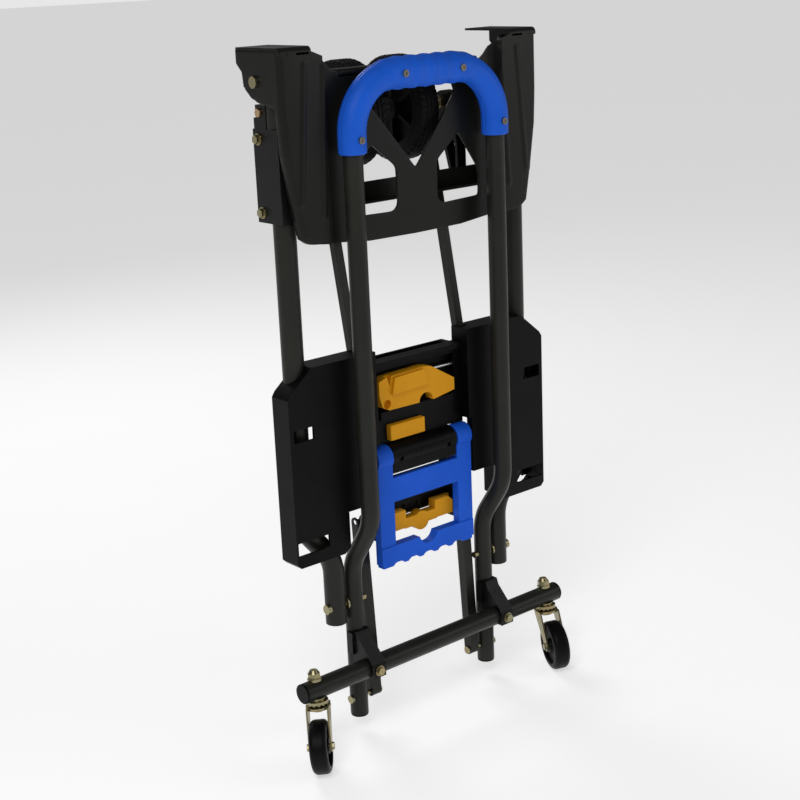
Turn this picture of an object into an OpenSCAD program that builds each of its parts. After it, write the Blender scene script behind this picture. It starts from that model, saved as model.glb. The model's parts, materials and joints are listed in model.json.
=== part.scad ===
// Folding platform cart, folded upright: millimetres, +Z up, X across, +Y to the rear.
// The origin lies on the floor in the middle of the folded cart's footprint.
// Shapes are drawn from the point under the side tubes, midway between them, and then moved.

/* [Frame] */
// Distance between the axes of the two side tubes
frame_width = 347; // [320:1:420]
// Outer diameter of the side tubes
frame_tube = 25.4; // [22:0.1:28]
// Height of the top ends of the side tubes
frame_top = 815; // [760:1:900]
// Height of the open lower ends of the side tubes
frame_bottom = 150; // [140:1:158]
// Wall thickness of the tubes
tube_wall = 1.6; // [1.2:0.1:2.5]

/* [Handle] */
// Width of each channel link beside the lever
strap_width = 14.4; // [12:0.1:18]
// Outer diameter of the handle tube
handle_tube = 22.2; // [19:0.1:23]
// How far the handle stands in front of its own tail
handle_offset = 40.6; // [39:0.1:43]
// Height of the handle tube over its top bend
handle_top = 790; // [760:1:794]
// Radius of the two corner bends of the handle
handle_corner = 62; // [50:1:70]
// Height of the fold axis
pivot_height = 171; // [168:1:178]
// Height of the lower ends of the handle
tail_bottom = 22; // [15:1:26]
// Diameter of the grip over the straight top
grip_size = 37; // [33:1:38]

/* [Crossbar] */
// Length of the bar that carries the casters
bar_length = 422; // [400:1:500]
// Outer diameter of the bar
bar_tube = 24; // [22:0.1:25.4]
// Height of the bar axis
bar_height = 92.6; // [90:0.1:97]
// Depth of the bar axis in front of the side tubes
bar_depth = 29; // [28:0.1:34]

/* [Casters] */
// Diameter of the small wheels
caster_wheel = 63.5; // [58:0.5:66]
// Tread width of the small wheels
caster_tread = 21; // [16:0.5:24]
// Distance from the swivel axis to the wheel axle
caster_trail = 22; // [18:0.5:26]
// Forward lean of the swivel axes when folded
caster_lean = 7; // [0:0.5:8]
// Turn of the left caster about its swivel axis
caster_turn_left = 227; // [0:1:359]
// Turn of the right caster about its swivel axis
caster_turn_right = 245; // [0:1:359]

/* [Wheels] */
// Diameter of the large wheels
wheel_size = 124; // [110:1:127]
// Width of the large wheels
wheel_width = 28; // [22:1:32]
// Distance between the middles of the large wheels
wheel_track = 80; // [72:1:90]
// Axle position behind the side tubes
axle_depth = 54; // [52:0.5:60]
// Axle height
axle_height = 741; // [738:1:750]

/* [Toe plate] */
// Room between each side bracket's tube and the ear of the plate
ear_room = 1.3; // [1:0.1:6]
// Sheet thickness
plate_sheet = 2.5; // [2:0.1:3]
// Depth of the top flange
plate_flange = 78; // [70:1:82]
// Height of the lower edge at the middle
plate_bottom = 604; // [590:1:640]
// Height of the hinge axis
plate_hinge = 790; // [785:1:793]

/* [Casing] */
// How far the casing reaches outside each side tube
casing_margin = 13.8; // [10:0.1:30]
// Height of the casing's lower edge
casing_bottom = 243; // [238:1:248]
// Height of the casing's shoulders
casing_top = 476; // [470:1:490]
// Wall thickness of the casing
casing_wall = 3; // [2.4:0.1:4]

/* [Release lever] */
// Width of the lever
lever_width = 149; // [140:0.5:149]
// Length from the hinge axis to the lower edge
lever_length = 136; // [128:1:140]

/* [Hidden] */
$fn = 64;
gap = 0.4;
fit = 0.05;
lap = 0.3;
swell = 0.16;
half = frame_width / 2;
strap_in = lever_width / 2 + 0.9;
strap_out = strap_in + strap_width;
leg = strap_out + 6.1 + handle_tube / 2;
plate_width = frame_width + frame_tube + 2 * (ear_room + plate_sheet);
casing_width = frame_width + frame_tube + 2 * casing_margin;
tail_y = -2;
front_y = tail_y - handle_offset;
pin_r = 4;
// lower ends of the side tubes stand just outside the handle legs
foot_x = leg + handle_tube / 2 + 2.7 + frame_tube / 2;
foot_shift = half - foot_x;
foot_bend = 50;
foot_angle = 40;
foot_run = (foot_shift - 2 * foot_bend * (1 - cos(foot_angle))) / sin(foot_angle);
foot_drop = 2 * foot_bend * sin(foot_angle) + foot_run * cos(foot_angle);
foot_start = 213 + foot_drop;
neck_bend = 60;
neck_angle = 35;
neck_run = (handle_offset - 2 * neck_bend * (1 - cos(neck_angle))) / sin(neck_angle);
neck_drop = 2 * neck_bend * sin(neck_angle) + neck_run * cos(neck_angle);
neck_start = 200 + neck_drop;
tail_pin_z = tail_bottom + 21;
grip_low = handle_top - handle_corner - 20;
grip_bore = handle_tube + 0.2;
screw_x = leg - handle_corner - 2.4;
strap_mid = (strap_in + strap_out) / 2;
bar_y = -bar_depth;
stem_x = bar_length / 2 - 20;
wheel_r = caster_wheel / 2;
stem_drop = (bar_height + 1.9 - wheel_r - 0.55) / cos(caster_lean);
wing_front = -30.5;
web_front = -19.5;
hinge_y = 15;
plate_top = plate_hinge + 36;
ear_in = plate_width / 2 - plate_sheet;
bracket_out = half + frame_tube / 2 + 0.6;
lever_y = -8;
lever_z = casing_bottom + 98;
lobe_r = 15;
lock_z = casing_bottom + 19;
lock_y = 11.5;
brace_x = strap_mid;
latch_pin_y = -2;
// middle of the footprint, seen from the point under the side tubes
footprint_x = -11.145;
footprint_y = 14.015;
brace_low = [0, casing_top - 36];

// ---------- shared shapes ----------

// puts the middle of the folded cart's footprint on the origin
module placed() {
    translate([-footprint_x, -footprint_y, 0]) children();
}

// rod along X between two depths and heights
module rod_x(x0, x1, y, z, d) {
    translate([x0, y, z]) rotate([0, 90, 0]) cylinder(d = d, h = x1 - x0);
}

// rod along Y
module rod_y(x, y0, y1, z, d) {
    translate([x, y0, z]) rotate([-90, 0, 0]) cylinder(d = d, h = y1 - y0);
}

// six-sided head along X, its outer face at x1
module hex_x(x0, x1, y, z, d) {
    translate([x0, y, z]) rotate([0, 90, 0]) cylinder(d = d, h = x1 - x0, $fn = 6);
}

// box from its two corners
module box(a, b) {
    translate(a) cube([b[0] - a[0], b[1] - a[1], b[2] - a[2]]);
}

// outline drawn in X and Z, standing between two depths
module plate_xz(y0, y1) {
    translate([0, y1, 0]) rotate([90, 0, 0]) linear_extrude(y1 - y0) children();
}

// outline drawn in Y and Z, standing between two values of X
module plate_yz(x0, x1) {
    translate([x0, 0, 0]) rotate([90, 0, 90]) linear_extrude(x1 - x0) children();
}

// straight length of tube running up from the origin
module pipe(d, h) {
    difference() {
        cylinder(d = d, h = h);
        translate([0, 0, -1]) cylinder(d = d - 2 * tube_wall, h = h + 2);
    }
}

// tube section for a bend of radius r, a hair thicker where the bending works the wall
module ring_section(r, d) {
    translate([r, 0]) difference() {
        circle(d = d + swell);
        circle(d = d - 2 * tube_wall - swell);
    }
}

// double bend that starts at the origin, runs down and shifts toward -X
module double_bend(r, a, run, d) {
    translate([-r, 0, 0]) rotate([90, 0, 0]) rotate([0, 0, -a])
        rotate_extrude(angle = a) ring_section(r, d);
    translate([-r + r * cos(a), 0, -r * sin(a)]) rotate([0, a, 0])
        translate([0, 0, -run - lap]) pipe(d, run + 2 * lap);
    translate([-r + r * cos(a) - run * sin(a) + r * cos(a), 0, -2 * r * sin(a) - run * cos(a)])
        rotate([90, 0, 0]) rotate([0, 0, 180 - a])
        rotate_extrude(angle = a) ring_section(r, d);
}

// solid corner bend of the handle on the right
module corner_path(d) {
    translate([leg - handle_corner, front_y, handle_top - handle_corner]) rotate([90, 0, 0])
        rotate_extrude(angle = 90) translate([handle_corner, 0]) circle(d = d);
}

module both() {
    children();
    mirror([1, 0, 0]) children();
}

// ---------- frame ----------

module frame_tube() {
    $fn = 32;
    color([0.16, 0.16, 0.14]) {
        difference() {
            translate([half, 0, foot_start - lap]) pipe(frame_tube, frame_top - foot_start + lap);
            rod_x(half - 20, half + 20, hinge_y - 11, plate_hinge, 7);
        }
        translate([half, 0, foot_start]) double_bend(foot_bend, foot_angle, foot_run, frame_tube);
        difference() {
            translate([foot_x, 0, frame_bottom])
                pipe(frame_tube, foot_start - foot_drop - frame_bottom + lap);
            rod_x(foot_x - 20, foot_x + 20, tail_y, pivot_height, 2 * pin_r);
        }
    }
}

module frame_tube_right() placed() {
    frame_tube();
}

module frame_tube_left() placed() {
    mirror([1, 0, 0]) frame_tube();
}

module frame_plugs() placed() {
    color([0.06, 0.06, 0.06]) both() translate([half, 0, frame_top - 12]) {
        cylinder(d = frame_tube - 2 * tube_wall, h = 12);
        translate([0, 0, 12]) cylinder(d = frame_tube - 1, h = 2);
    }
}

// black channel clamped round the upper part of a side tube
module side_bracket() {
    color([0.05, 0.05, 0.05]) difference() {
        union() {
            box([half - 15.5, -15.5, 638], [bracket_out, 29, 740]);
            box([bracket_out - 9, 4, 739], [bracket_out, 26, 766]);
        }
        translate([half, 0, 600]) cylinder(d = frame_tube, h = 180);
        box([half - 20, 13.5, 650], [bracket_out - 4, 26, 730]);
        for (z = [641 + 8, 737 - 8])
            rod_x(half - 20, bracket_out + 1, 20, z, 6);
        rod_x(half, bracket_out + 1, 15, 757.5, 5);
        box([half - 16, 14, 730], [half + 2, 30, 741]);
        box([bracket_out - 10, 22, 752], [bracket_out + 1, 27, 767]);
    }
}

module side_bracket_right() placed() {
    side_bracket();
}

module side_bracket_left() placed() {
    mirror([1, 0, 0]) side_bracket();
}

module side_bracket_bolts() placed() {
    color([0.75, 0.65, 0.35]) both() for (z = [641 + 8, 737 - 8]) {
        rod_x(bracket_out - 12, bracket_out, 20, z, 6);
        rod_x(bracket_out, bracket_out + 1.2, 20, z, 13);
        hex_x(bracket_out + 1.2, bracket_out + 5, 20, z, 10);
    }
}

module lug_bolts() placed() {
    color([0.7, 0.45, 0.3]) both() {
        difference() {
            rod_x(bracket_out - 9, bracket_out, 15, 757.5, 5);
            translate([half, 0, 737]) cylinder(d = frame_tube + 0.2, h = 40);
        }
        rod_x(bracket_out, bracket_out + 3, 15, 757.5, 9);
    }
}

// shouldered pins on which the ears of the toe plate turn
module toe_pivot_bolts() placed() {
    color([0.75, 0.62, 0.3]) both() {
        difference() {
            rod_x(half + 4, ear_in, hinge_y, plate_hinge, 9);
            translate([half, 0, plate_hinge - 20]) cylinder(d = frame_tube, h = 40);
        }
        rod_x(ear_in, ear_in + plate_sheet + 0.3, hinge_y, plate_hinge, 8 - 2 * fit);
        rod_x(ear_in + plate_sheet + 0.3, ear_in + plate_sheet + 3.4, hinge_y, plate_hinge, 13);
    }
}

module cross_plate() placed() {
    color([0.2, 0.2, 0.18]) difference() {
        union() {
            box([-half + 15.5, 26, 640], [half - 15.5, 29, 664]);
            box([-half + 15.5, 16, 640], [half - 15.5, 29, 643]);
            both() box([half - 18.5, 16, 640], [half - 15.5, 29, 664]);
        }
        for (x = [-60, 60])
            rod_y(x, 20, 32, 652, 8);
    }
}

module axle_lug() {
    color([0.05, 0.05, 0.05]) difference() {
        plate_yz(112, 126) difference() {
            union() {
                translate([axle_depth, axle_height]) circle(r = 14);
                polygon([[29, 644], [41, 644], [axle_depth + 13.5, axle_height - 4],
                    [axle_depth - 14, axle_height], [29, 690]]);
            }
            polygon([[33, 655], [39, 655], [axle_depth + 4, axle_height - 22],
                [axle_depth - 10, axle_height - 22], [33, 690]]);
        }
        rod_x(100, 130, axle_depth, axle_height, 10);
    }
}

module axle_lug_right() placed() {
    axle_lug();
}

module axle_lug_left() placed() {
    mirror([1, 0, 0]) axle_lug();
}

module axle() placed() {
    color([0.7, 0.7, 0.72]) rod_x(-130, 130, axle_depth, axle_height, 10);
}

module axle_nuts() placed() {
    color([0.75, 0.65, 0.35]) both() difference() {
        union() {
            hex_x(104, 112, axle_depth, axle_height, 17);
            hex_x(126, 130, axle_depth, axle_height, 17);
        }
        rod_x(100, 134, axle_depth, axle_height, 10);
    }
}

// diagonal channel from the casing up to the axle
brace_run = [axle_depth - brace_low[0], axle_height - brace_low[1]];
brace_len = sqrt(brace_run[0] * brace_run[0] + brace_run[1] * brace_run[1]);
brace_tilt = atan2(brace_run[0], brace_run[1]);

module brace() {
    color([0.14, 0.14, 0.13]) translate([brace_x, brace_low[0], brace_low[1]])
        rotate([-brace_tilt, 0, 0]) difference() {
            union() {
                box([-5.5, -4.75, 0], [5.5, 4.75, brace_len]);
                rod_x(-5.5, 5.5, 0, brace_len, 16);
                rod_x(-5.5, 5.5, 0, 0, 9.5);
            }
            box([-3.7, -2.8, -10], [3.7, 10, brace_len - 20]);
            rod_x(-10, 10, 0, brace_len, 10);
            rod_x(-10, 10, 0, 0, 5);
        }
}

module brace_right() placed() {
    brace();
}

module brace_left() placed() {
    mirror([1, 0, 0]) brace();
}

module brace_bolts() placed() {
    color([0.75, 0.6, 0.3]) both() {
        rod_x(brace_x - 7, brace_x + 8, brace_low[0], brace_low[1], 5);
        hex_x(brace_x - 10, brace_x - 7, brace_low[0], brace_low[1], 9);
    }
}

// ---------- casing ----------

module wing_outline(inset) {
    x0 = strap_in + 1.5 + inset;
    x1 = casing_width / 2 - inset;
    offset_z = casing_top - inset;
    polygon([[x0, casing_bottom + 50 + inset], [leg + 15 + inset, casing_bottom + 50 + inset],
        [leg + 15 + inset, casing_bottom + 6 + inset], [leg + 24 + inset, casing_bottom + inset],
        [x1 - 5, casing_bottom + inset], [x1, casing_bottom + 5 + inset],
        [x1, offset_z - 32], [x1 - 4, offset_z - 26], [half - 9, offset_z],
        [x0, offset_z]]);
}

module casing_half() {
    difference() {
        union() {
            // shoulder shell with its open back
            difference() {
                plate_xz(-22, 8) wing_outline(0);
                plate_xz(-22 + casing_wall, 9) wing_outline(casing_wall);
            }
            // stiffening ribs that bear on the side tube
            for (z = [casing_bottom + 80, casing_bottom + 130, casing_bottom + 180])
                box([leg + 14, -20, z], [casing_width / 2 - 1, 3, z + casing_wall]);
            box([leg + 20, -20, casing_bottom + 60], [leg + 23, 3, casing_top - 2]);
            // blinds behind the outer ends of the viewing slots
            box([half + frame_tube / 2 + 0.5, -14, casing_bottom + 146], [casing_width / 2 - 1, 3, casing_bottom + 169]);
            box([half + frame_tube / 2 + 0.5, 4, casing_bottom + 10], [casing_width / 2 - 1, 8, casing_bottom + 36]);
            // centre panel
            box([0, -6, casing_bottom + 114], [strap_in + 2, 6, casing_top - 18]);
            box([strap_in - 3.5, -22, casing_bottom + 120], [strap_in + 3, 6, casing_top]);
            // cheeks behind the lever, carried by rails behind the lock bar
            box([56, -6.5, casing_bottom - 8], [68, 6.5, casing_bottom + 79]);
            box([56, 6, casing_bottom - 8], [68, lock_y + 9, casing_bottom + 8]);
            box([56, lock_y + 6.5, casing_bottom - 8], [68, lock_y + 9, casing_top - 18]);
            box([0, lock_y + 6.5, casing_bottom + 80], [68, lock_y + 9, casing_top - 18]);
            box([60, 5, casing_top - 30], [68, lock_y + 9, casing_top - 18]);
            // stop rib over the lock bar's top position
            box([0, -9, casing_bottom + 143], [57, 0, casing_bottom + 153]);
            // upper rim of the centre panel
            box([0, -12, casing_top - 24], [strap_in + 2, 6, casing_top - 18]);
            // carriers for the cheeks
            box([56, -6.5, casing_bottom + 112], [strap_in + 2, 6.5, casing_bottom + 122]);
        }
        // side tube, and the slot that lets its lower bend pass
        translate([half, 0, foot_start]) cylinder(d = frame_tube + 0.2, h = 300);
        box([leg + 21, -14, casing_bottom - 5], [half + 16, 20, casing_bottom + casing_wall + 2]);
        // viewing slots over the tube
        box([half - 7, -30, casing_bottom + 150], [half + 21, -10, casing_bottom + 165]);
        box([half - 21, -30, casing_bottom + 15], [half + 24, -10, casing_bottom + 31]);
        // strap lane
        box([strap_in - 0.5, -12, casing_bottom - 20], [strap_out + 1, 40, casing_bottom + 150]);
        // brace seat
        translate([0, 0, -1]) box([brace_x - 6, -7, brace_low[1] - 8],
            [brace_x + 6, 30, casing_top + 10]);
        rod_x(brace_x - 13, brace_x + 13, brace_low[0], brace_low[1], 5);
        rod_x(brace_x - 10.2, brace_x - 6, brace_low[0], brace_low[1], 9.4);
        // round room for the lever's lobes and barrel
        rod_x(-1, strap_in + 1, lever_y, lever_z, 2 * lobe_r + 2 * gap);
        // latch pockets
        box([-1, -15, casing_bottom + 153.4], [63, 3.5, casing_bottom + 203]);
        box([-1, -15, casing_bottom - 15], [55, 10, casing_bottom + 24]);
        rod_x(-1, 66, latch_pin_y, casing_bottom + 189, 4);
        rod_x(-1, 66, -1, casing_bottom + 15, 4);
    }
}

module casing() placed() {
    color([0.05, 0.05, 0.05]) difference() {
        both() casing_half();
        // button window
        box([-47, -10, casing_bottom + 116], [8, 10, casing_bottom + 136]);
        // lever pin
        rod_x(-strap_in - 1, strap_in + 1, lever_y, lever_z, 6);
    }
}

module casing_bolts() placed() {
    color([0.75, 0.62, 0.35]) both() for (z = [casing_bottom + 100, casing_bottom + 190]) {
        difference() {
            rod_y(half, frame_tube / 2 - 1.5, frame_tube / 2 + 1.4, z, 11);
            translate([half, 0, z - 20]) cylinder(d = frame_tube, h = 40);
        }
        translate([half, frame_tube / 2 + 1.4, z]) rotate([-90, 0, 0]) cylinder(d = 9, h = 3.4, $fn = 6);
    }
}

module lever_barrel() placed() {
    color([0.07, 0.07, 0.07]) difference() {
        union() {
            rod_x(-50.5, 50.5, lever_y, lever_z + 1, 2 * lobe_r - 2);
            box([-50.5, -19, lever_z - 20], [50.5, 5, lever_z]);
            box([-50, -6, lever_z + 5], [50, 5.5, casing_bottom + 114]);
        }
        for (x = [-44 : 4 : 44])
            translate([x - 0.6, -24, lever_z - 30]) cube([1.2, 2.6, 60]);
        for (x = [-38, 38])
            translate([x - 3, -24, lever_z - 6]) cube([6, 6, 5]);
        rod_x(-60, 60, lever_y, lever_z, 6);
        both() rod_x(50.5, 58, lever_y, lever_z, 2 * lobe_r + 2 * gap);
    }
}

module lever_pin() placed() {
    color([0.6, 0.6, 0.6]) rod_x(-strap_in + 1.6, strap_in - 1.6, lever_y, lever_z, 6);
}

// bar moved up and down by the straps
module lock_bar() placed() {
    color([0.07, 0.07, 0.07]) difference() {
        union() {
            box([-strap_in + 0.7, lock_y - 3.5, lock_z - 9], [strap_in - 0.7, lock_y + 3.5, lock_z + 9]);
            box([-40, lock_y + 3, lock_z - 5], [40, lock_y + 6, lock_z + 5]);
        }
        for (x = [-66, -44, -22, 0, 22, 44, 66])
            box([x - 8, lock_y - 5, lock_z - 4], [x + 8, lock_y - 1.5, lock_z + 4]);
    }
}

module upper_latch() placed() {
    z0 = casing_bottom + 154;
    color([0.87, 0.6, 0.1]) difference() {
        union() {
            plate_xz(-13, 1) polygon([[-61.5, z0 + 20], [-61.5, z0 + 38], [-50, z0 + 42],
                [8, z0 + 44], [20, z0 + 42], [57, z0 + 20], [57, z0 + 5], [24, z0],
                [-47, z0 + 1], [-57, z0 + 6]]);
            plate_xz(-17, -12) polygon([[-44, z0 + 20], [-40, z0 + 40], [6, z0 + 42],
                [12, z0 + 22]]);
        }
        // finger arch and the notch of the retaining spring
        rod_y(11, -20, 8, z0, 22);
        plate_xz(-20, -6) polygon([[-52, z0 + 50], [-40, z0 + 50], [-45, z0 + 30]]);
        rod_y(-50, -20, -7, z0 + 9, 11);
        rod_x(-70, 70, latch_pin_y, casing_bottom + 189, 4 + 2 * fit);
    }
}

module lower_latch() placed() {
    z0 = casing_bottom - 9;
    color([0.87, 0.6, 0.1]) difference() {
        union() {
            both() box([24, -7, z0 + 8], [53, 5, z0 + 31]);
            box([-26, -7, z0 + 7], [26, 5, z0 + 20]);
            rod_y(1, -7, 5, z0 + 11, 24);
        }
        both() rod_x(40, 70, -1, casing_bottom + 15, 4 + 2 * fit);
        both() translate([53, -10, z0 + 31]) rotate([0, 45, 0]) cube([10, 20, 10], center = true);
    }
}

module latch_pins() placed() {
    color([0.6, 0.6, 0.6]) {
        rod_x(-66, 66, latch_pin_y, casing_bottom + 189, 4);
        both() rod_x(40, 66, -1, casing_bottom + 15, 4);
    }
}

module latch_button() placed() {
    color([0.87, 0.6, 0.1]) box([-46.6, -13, casing_bottom + 116.4], [7.6, -1, casing_bottom + 135.6]);
}

// blue lever: two legs, two bars, a window and finger scallops
module release_lever() placed() {
    w = lever_width / 2;
    z1 = lever_z - lever_length;
    color([0.1, 0.32, 0.72]) difference() {
        union() {
            both() rod_x(52, w, lever_y, lever_z, 2 * lobe_r);
            both() box([52, -20, z1 + 4], [w, -9, lever_z]);
            both() box([52, -9.5, lever_z - 60], [w, -7.2, lever_z]);
            box([-w, -21, z1 + 4], [w, -9, z1 + 26]);
            both() box([w - 6, -20, z1], [w - 2, -9, z1 + 5]);
            box([-w + 4, -20, z1], [w - 4, -9, z1 + 5]);
            box([-53, -20, lever_z - 55], [53, -10, lever_z - 25]);
        }
        // finger scallops along the lower edge
        for (x = [-48, -24, 0, 24, 48])
            rod_y(x, -30, 0, z1 - 8, 24);
        // thumb notch over the lower bar
        rod_y(0, -30, 0, z1 + 30, 30);
        rod_x(-w - 1, w + 1, lever_y, lever_z, 6 + 2 * fit);
    }
}

// ---------- toe plate ----------

module plate_outline() {
    w = plate_width / 2;
    b = plate_bottom;
    polygon([[0, b], [-70, b + 1], [-128, b + 7], [-158, b + 9], [-172, b + 18], [-180, b + 60],
        [-w + 2, b + 110], [-w, b + 150], [-w, plate_top - 8], [-w + 8, plate_top],
        [-148, plate_top], [-128, plate_top - 12], [-114, plate_top - 26], [-104, plate_top - 28],
        [104, plate_top - 28], [114, plate_top - 26], [128, plate_top - 12], [148, plate_top],
        [w - 8, plate_top], [w, plate_top - 8], [w, b + 150], [w - 2, b + 110], [180, b + 60],
        [172, b + 18], [158, b + 9], [128, b + 7], [70, b + 1]]);
}

module ear_outline() {
    // side ear seen along X
    t = plate_top;
    h = plate_hinge;
    polygon([[wing_front, h - 26], [wing_front, t - 6], [wing_front + 6, t],
        [wing_front + plate_flange, t], [wing_front + plate_flange, t - 17],
        [hinge_y + 23, h + 10], [hinge_y + 21, h - 6], [hinge_y + 8, h - 17],
        [hinge_y - 6, h - 22], [-8, h - 25]]);
}

module toe_plate() placed() {
    w = plate_width / 2;
    s = plate_sheet;
    color([0.16, 0.16, 0.14]) difference() {
        union() {
            // middle web
            intersection() {
                plate_xz(web_front, web_front + s) plate_outline();
                box([-128, -40, 500], [128, 0, 900]);
            }
            // raised wings with their steps
            both() {
                intersection() {
                    plate_xz(wing_front, wing_front + s) plate_outline();
                    box([124, -40, 500], [w, 0, 900]);
                }
                intersection() {
                    plate_xz(wing_front, web_front + s) plate_outline();
                    box([124, -40, 500], [124 + s, 0, 900]);
                }
                // pressed ridges down the wings
                intersection() {
                    plate_xz(wing_front - 2, wing_front + 1) plate_outline();
                    union() {
                        box([140, -40, 645], [146, 0, plate_top - 8]);
                        box([160, -40, 655], [166, 0, plate_top - 8]);
                    }
                }
                // top flange over each wing
                box([146, wing_front + 2, plate_top - s], [w, wing_front + plate_flange, plate_top]);
                box([146, wing_front + 22, plate_top - s], [156, wing_front + plate_flange, plate_top + 1.5]);
                plate_yz(w - s, w) ear_outline();
            }
            // short flange over the middle
            box([-112, web_front, plate_top - 28 - s], [112, web_front + 17, plate_top - 28]);
            // stiffening lip along the lower edge
            box([-118, web_front, plate_bottom + 8], [118, web_front + 7, plate_bottom + 10.5]);
        }
        // triangular window and the two lower windows of the web
        plate_xz(-40, -10) {
            polygon([[3, 680], [66, 760], [60, 776], [-60, 776], [-64, 760]]);
            polygon([[-100, 636], [-100, 668], [-62, 712], [-27, 684], [-26, 640], [-32, 634]]);
            polygon([[100, 636], [100, 668], [70, 712], [36, 684], [35, 640], [41, 634]]);
        }
        both() rod_x(w - s - 1, w + 1, hinge_y, plate_hinge, 8);
    }
}

// ---------- large wheels ----------

module tyre(x) {
    r = wheel_size / 2;
    color([0.05, 0.05, 0.05]) translate([x, axle_depth, axle_height]) rotate([0, 90, 0])
        difference() {
            union() {
                translate([0, 0, -wheel_width / 2 + 5]) cylinder(r = r, h = wheel_width - 10);
                translate([0, 0, -wheel_width / 2]) cylinder(r1 = r - 6, r2 = r, h = 5.01);
                translate([0, 0, wheel_width / 2 - 5.01]) cylinder(r1 = r, r2 = r - 6, h = 5.01);
            }
            cylinder(r = r - 16, h = wheel_width + 2, center = true);
            for (z = [-6, 0, 6])
                translate([0, 0, z]) rotate_extrude() translate([r, 0]) circle(r = 1.2, $fn = 20);
        }
}

module hub(x) {
    r = wheel_size / 2;
    color([0.07, 0.07, 0.07]) translate([x, axle_depth, axle_height]) rotate([0, 90, 0])
        difference() {
            union() {
                difference() {
                    cylinder(r = r - 16, h = wheel_width - 4, center = true);
                    cylinder(r = r - 20, h = wheel_width, center = true);
                }
                cylinder(r = r - 18, h = 5, center = true);
                cylinder(r = 13, h = wheel_width, center = true);
                for (a = [0 : 60 : 300])
                    rotate([0, 0, a]) translate([10, -2, -wheel_width / 2 + 4])
                        cube([r - 28, 4, wheel_width - 8]);
            }
            cylinder(d = 10 + 2 * fit, h = wheel_width + 2, center = true);
        }
}

module tyre_left() placed() {
    tyre(-wheel_track / 2);
}

module tyre_right() placed() {
    tyre(wheel_track / 2);
}

module hub_left() placed() {
    hub(-wheel_track / 2);
}

module hub_right() placed() {
    hub(wheel_track / 2);
}

// ---------- handle ----------

module pivot_pins() placed() {
    color([0.75, 0.62, 0.35]) both() {
        rod_x(strap_out + 1, foot_x + frame_tube / 2 + 1, tail_y, pivot_height, 2 * pin_r);
        difference() {
            rod_x(foot_x + frame_tube / 2 - 2, foot_x + frame_tube / 2 + 3, tail_y, pivot_height, 12);
            translate([foot_x, 0, pivot_height - 20]) cylinder(d = frame_tube, h = 40);
        }
    }
}

module pivot_washers() placed() {
    color([0.7, 0.68, 0.6]) both() difference() {
        rod_x(leg + handle_tube / 2 + 0.4, foot_x - frame_tube / 2, tail_y, pivot_height, 16);
        rod_x(leg, foot_x, tail_y, pivot_height, 2 * pin_r);
    }
}

module handle() placed() {
    $fn = 28;
    color([0.17, 0.17, 0.15]) {
        both() {
            difference() {
                translate([leg, front_y, neck_start - lap])
                    pipe(handle_tube, handle_top - handle_corner - neck_start + 2 * lap);
                rod_y(leg, front_y - 20, front_y, grip_low + 16, 3.4);
            }
            translate([leg, front_y, neck_start]) rotate([0, 0, -90])
                double_bend(neck_bend, neck_angle, neck_run, handle_tube);
            difference() {
                translate([leg, tail_y, tail_bottom])
                    pipe(handle_tube, neck_start - neck_drop - tail_bottom + lap);
                rod_x(leg - 20, leg + 20, tail_y, pivot_height, 2 * pin_r + 2 * fit);
                rod_x(leg - 20, leg + 20, tail_y, tail_pin_z, 6);
            }
            translate([leg - handle_corner, front_y, handle_top - handle_corner])
                rotate([90, 0, 0]) rotate_extrude(angle = 90)
                ring_section(handle_corner, handle_tube);
        }
        difference() {
            translate([-leg + handle_corner - lap, front_y, handle_top]) rotate([0, 90, 0])
                pipe(handle_tube, 2 * (leg - handle_corner + lap));
            for (x = [-screw_x, screw_x])
                rod_y(x, front_y - 20, front_y, handle_top, 3.4);
        }
    }
}

module grip_body() {
    d = 32;
    lift = handle_top - handle_corner - grip_low;
    difference() {
        union() {
            both() {
                translate([leg, front_y, grip_low]) cylinder(d = d, h = lift);
                corner_path(d);
            }
            rod_x(-leg + handle_corner, leg - handle_corner, front_y, handle_top, d);
            rod_x(-56, 56, front_y, handle_top, grip_size - 2);
            for (x = [-40 : 20 : 40])
                rod_x(x - 6, x + 6, front_y, handle_top, grip_size);
        }
        both() {
            translate([leg, front_y, grip_low - 1]) cylinder(d = grip_bore, h = lift + 1);
            corner_path(grip_bore);
        }
        rod_x(-leg + handle_corner, leg - handle_corner, front_y, handle_top, grip_bore);
        both() rod_y(leg, front_y - 30, front_y, grip_low + 16, 3.4);
        for (x = [-screw_x, screw_x])
            rod_y(x, front_y - 30, front_y, handle_top, 3.4);
    }
}

module grip_front() placed() {
    color([0.12, 0.35, 0.78]) intersection() {
        grip_body();
        box([-200, front_y - 40, 600], [200, front_y, 900]);
    }
}

module grip_back() placed() {
    color([0.12, 0.35, 0.78]) intersection() {
        grip_body();
        box([-200, front_y, 600], [200, front_y + 40, 900]);
    }
}

module cross_recess(x, y, z) {
    translate([x, y, z]) {
        cube([4.6, 1.6, 1.1], center = true);
        cube([1.1, 1.6, 4.6], center = true);
    }
}

module grip_screws() placed() {
    z = grip_low + 16;
    low_face = front_y - 18.2;
    top_face = front_y - grip_size / 2 - 1.5;
    color([0.5, 0.45, 0.35]) difference() {
        union() {
            both() {
                rod_y(leg, front_y - 17.5, front_y - 6, z, 3.4);
                rod_y(leg, low_face, front_y - 16, z, 8);
            }
            for (x = [-screw_x, screw_x]) {
                rod_y(x, front_y - 19, front_y - 6, handle_top, 3.4);
                rod_y(x, top_face, front_y - grip_size / 2, handle_top, 8);
            }
        }
        both() {
            cross_recess(leg, low_face, z);
            cross_recess(screw_x, top_face, handle_top);
        }
    }
}

module tail_plugs() placed() {
    color([0.06, 0.06, 0.06]) both() translate([leg, tail_y, tail_bottom - 2]) {
        cylinder(d = handle_tube - 0.6, h = 2);
        cylinder(d = handle_tube - 2 * tube_wall, h = 12);
    }
}

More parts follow.
